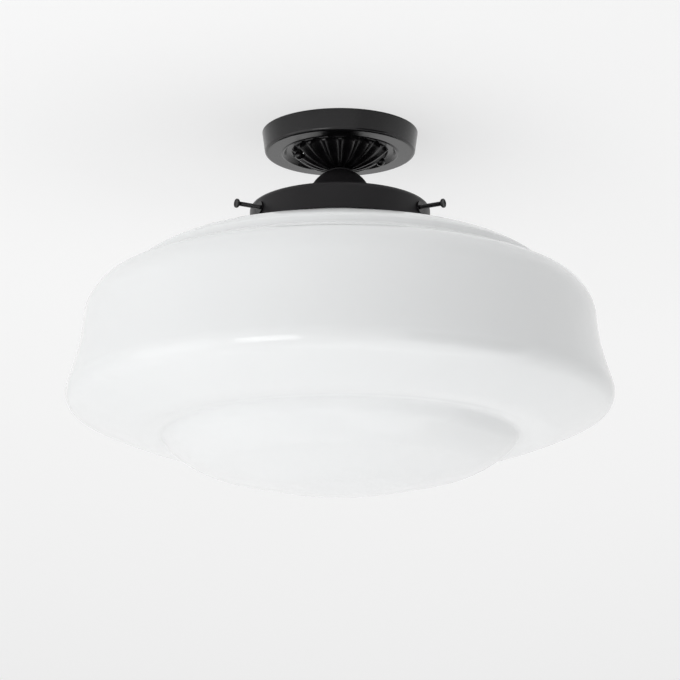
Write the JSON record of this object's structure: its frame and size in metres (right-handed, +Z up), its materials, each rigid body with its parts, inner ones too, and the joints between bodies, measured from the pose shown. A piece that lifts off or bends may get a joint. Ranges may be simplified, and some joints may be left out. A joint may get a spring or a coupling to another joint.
{
  "type": "semi flush ceiling light",
  "caption": "Semi flush ceiling light: round canopy with a fluted bowl, domed gallery with thumb screws, and a wide stepped opal glass shade with a dished bottom.",
  "frame": {"origin": "on the ceiling face, at the centre of the crossbar's two ceiling-screw holes, which is on the light's axis", "axes": "+Z up into the ceiling, -Y towards the pictured front, +X to the right"},
  "size_m": [0.4714, 0.4714, 0.3188],
  "materials": {
    "black_metal": "satin black powder coat",
    "plated_steel": "zinc-plated satin",
    "brass": "bare brass",
    "opal_glass": "blown opal white glass, satin gloss",
    "porcelain": "glazed white porcelain",
    "white_plastic": "matt white nylon",
    "brown_sleeve": "brown lead insulation",
    "blue_sleeve": "blue lead insulation",
    "green_sleeve": "green and yellow lead insulation",
    "frosted_glass": "frosted white lamp glass",
    "lamp_cap_metal": "bare lamp cap",
    "black_ceramic": "black cap insulator"
  },
  "bodies": {
    "fixture": {"block_fixing_screw": "plated_steel", "canopy": "black_metal", "centre_contact": "brass", "crossbar": "plated_steel", "earth_lead": "green_sleeve", "earth_lug": "brass", "earth_screw": "plated_steel", "earth_washer": "plated_steel", "gallery": "black_metal", "glass_shade": "opal_glass", "holder_body": "porcelain", "holder_bracket": "plated_steel", "holder_screws": "plated_steel", "holder_terminal_screws": "plated_steel", "holder_terminals": "brass", "live_lead": "brown_sleeve", "lower_lock_nut": "plated_steel", "lower_washer": "plated_steel", "neutral_lead": "blue_sleeve", "screw_bush_back": "black_metal", "screw_bush_left": "black_metal", "screw_bush_right": "black_metal", "screw_shell": "brass", "terminal_block": "white_plastic", "terminal_inserts": "brass", "terminal_screws": "plated_steel", "threaded_nipple": "plated_steel", "upper_lock_nut": "plated_steel", "upper_washer": "plated_steel"},
    "left_thumb_screw": {"thumb_screw_left": "black_metal"},
    "right_thumb_screw": {"thumb_screw_right": "black_metal"},
    "back_thumb_screw": {"thumb_screw_back": "black_metal"},
    "left_canopy_screw": {"canopy_screw_left": "black_metal"},
    "right_canopy_screw": {"canopy_screw_right": "black_metal"},
    "lamp": {"lamp_bulb": "frosted_glass", "lamp_cap": "lamp_cap_metal", "lamp_contact": "brass", "lamp_insulator": "black_ceramic"}
  },
  "joints": [
    {"name": "left_thumb_screw_travel", "type": "slide", "parent": "fixture", "child": "left_thumb_screw", "axis": [-0.866, -0.5, 0], "range_m": [0, 0.01]},
    {"name": "right_thumb_screw_travel", "type": "slide", "parent": "fixture", "child": "right_thumb_screw", "axis": [0.866, -0.5, 0], "range_m": [0, 0.01]},
    {"name": "back_thumb_screw_travel", "type": "slide", "parent": "fixture", "child": "back_thumb_screw", "axis": [0, 1, 0], "range_m": [0, 0.01]},
    {"name": "left_canopy_screw_travel", "type": "slide", "parent": "fixture", "child": "left_canopy_screw", "axis": [0, 0, -1], "range_m": [0, 0.005]},
    {"name": "right_canopy_screw_travel", "type": "slide", "parent": "fixture", "child": "right_canopy_screw", "axis": [0, 0, -1], "range_m": [0, 0.005]},
    {"name": "lamp_travel", "type": "slide", "parent": "fixture", "child": "lamp", "axis": [0, 0, -1], "range_m": [0, 0.026]}
  ]
}
